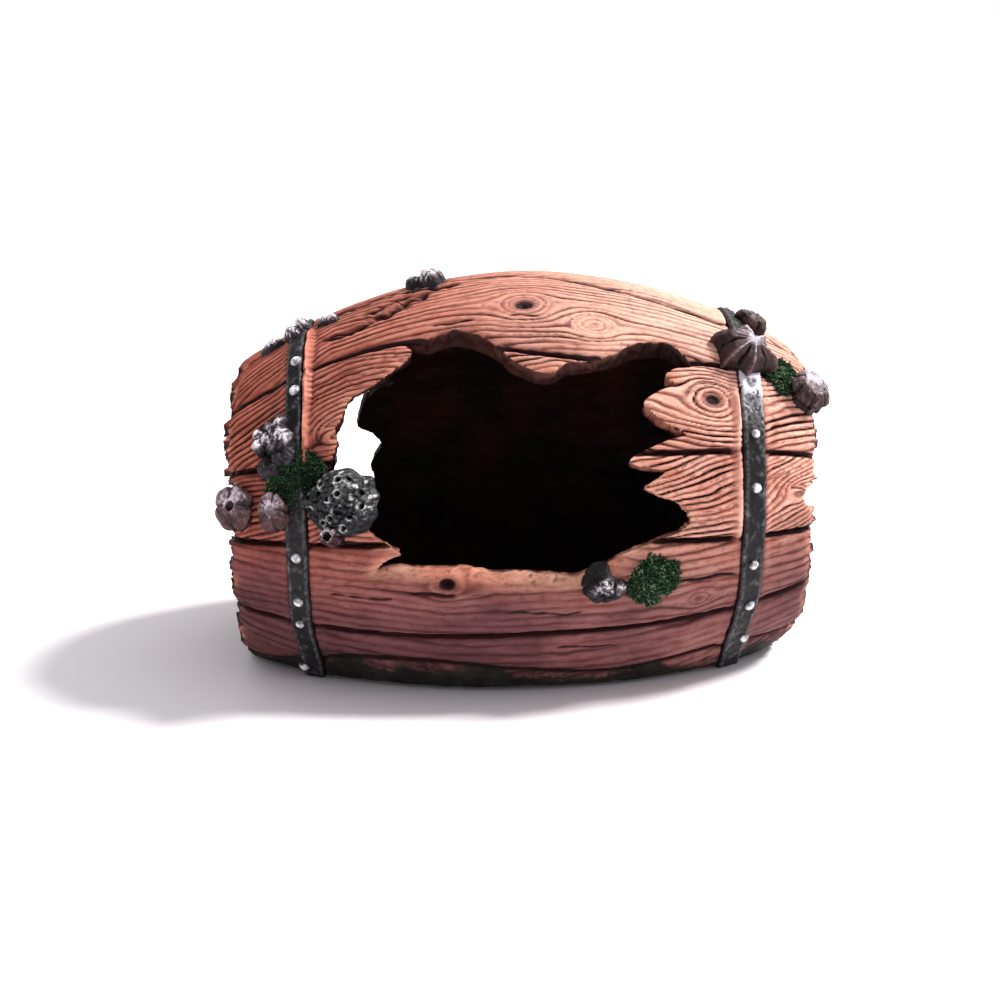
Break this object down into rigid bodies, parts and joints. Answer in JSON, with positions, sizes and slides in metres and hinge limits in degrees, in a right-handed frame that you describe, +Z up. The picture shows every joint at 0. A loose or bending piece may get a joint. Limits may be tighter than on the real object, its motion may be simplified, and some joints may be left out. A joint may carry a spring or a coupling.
{
  "type": "aquarium cave ornament",
  "caption": "Resin aquarium cave shaped as a broken wooden barrel lying on its side, hooped and overgrown, with a large ragged way in at the front and a small one at the back.",
  "frame": {"origin": "middle of the flat face that the ornament stands on, under the barrel's belly", "axes": "+X along the barrel from its left head to its right head as seen from the broken front, +Y from the front to the back, +Z up"},
  "size_m": [0.1536, 0.1019, 0.1026],
  "materials": {
    "painted_wood": "satin",
    "shaded_wood": "matte",
    "iron_paint": "satin",
    "rivet_paint": "satin",
    "barnacle_paint": "matte",
    "coral_paint": "matte",
    "rock_paint": "matte",
    "moss_paint": "matte"
  },
  "bodies": {
    "root": {"coral_barnacle": "barnacle_paint", "floor_slab": "shaded_wood", "front_moss": "moss_paint", "front_rock": "rock_paint", "hoop_barnacle_large": "barnacle_paint", "hoop_barnacle_small": "barnacle_paint", "hoop_rock": "rock_paint", "left_barnacle": "barnacle_paint", "left_coral": "coral_paint", "left_head_board_1": "shaded_wood", "left_head_board_2": "shaded_wood", "left_head_board_3": "shaded_wood", "left_head_board_4": "shaded_wood", "left_head_board_5": "shaded_wood", "left_hoop": "iron_paint", "left_hoop_rivets": "rivet_paint", "left_moss": "moss_paint", "left_rock": "rock_paint", "right_head_board_1": "shaded_wood", "right_head_board_2": "shaded_wood", "right_head_board_3": "shaded_wood", "right_head_board_4": "shaded_wood", "right_head_board_5": "shaded_wood", "right_hoop": "iron_paint", "right_hoop_rivets": "rivet_paint", "right_moss": "moss_paint", "rim_barnacle_left": "barnacle_paint", "rim_barnacle_right": "barnacle_paint", "shoulder_rock": "rock_paint", "stave_01": "painted_wood", "stave_02": "painted_wood", "stave_03": "painted_wood", "stave_04_left": "painted_wood", "stave_04_right": "painted_wood", "stave_05_left": "painted_wood", "stave_05_middle": "painted_wood", "stave_05_right": "painted_wood", "stave_06": "painted_wood", "stave_07": "painted_wood", "stave_08": "painted_wood", "stave_09": "painted_wood", "stave_10_left": "painted_wood", "stave_10_right": "painted_wood", "stave_11": "painted_wood", "stave_12": "painted_wood", "stave_13": "painted_wood", "stave_14": "painted_wood", "stave_15": "painted_wood", "stave_rock": "rock_paint", "top_rock": "rock_paint"}
  },
  "joints": []
}
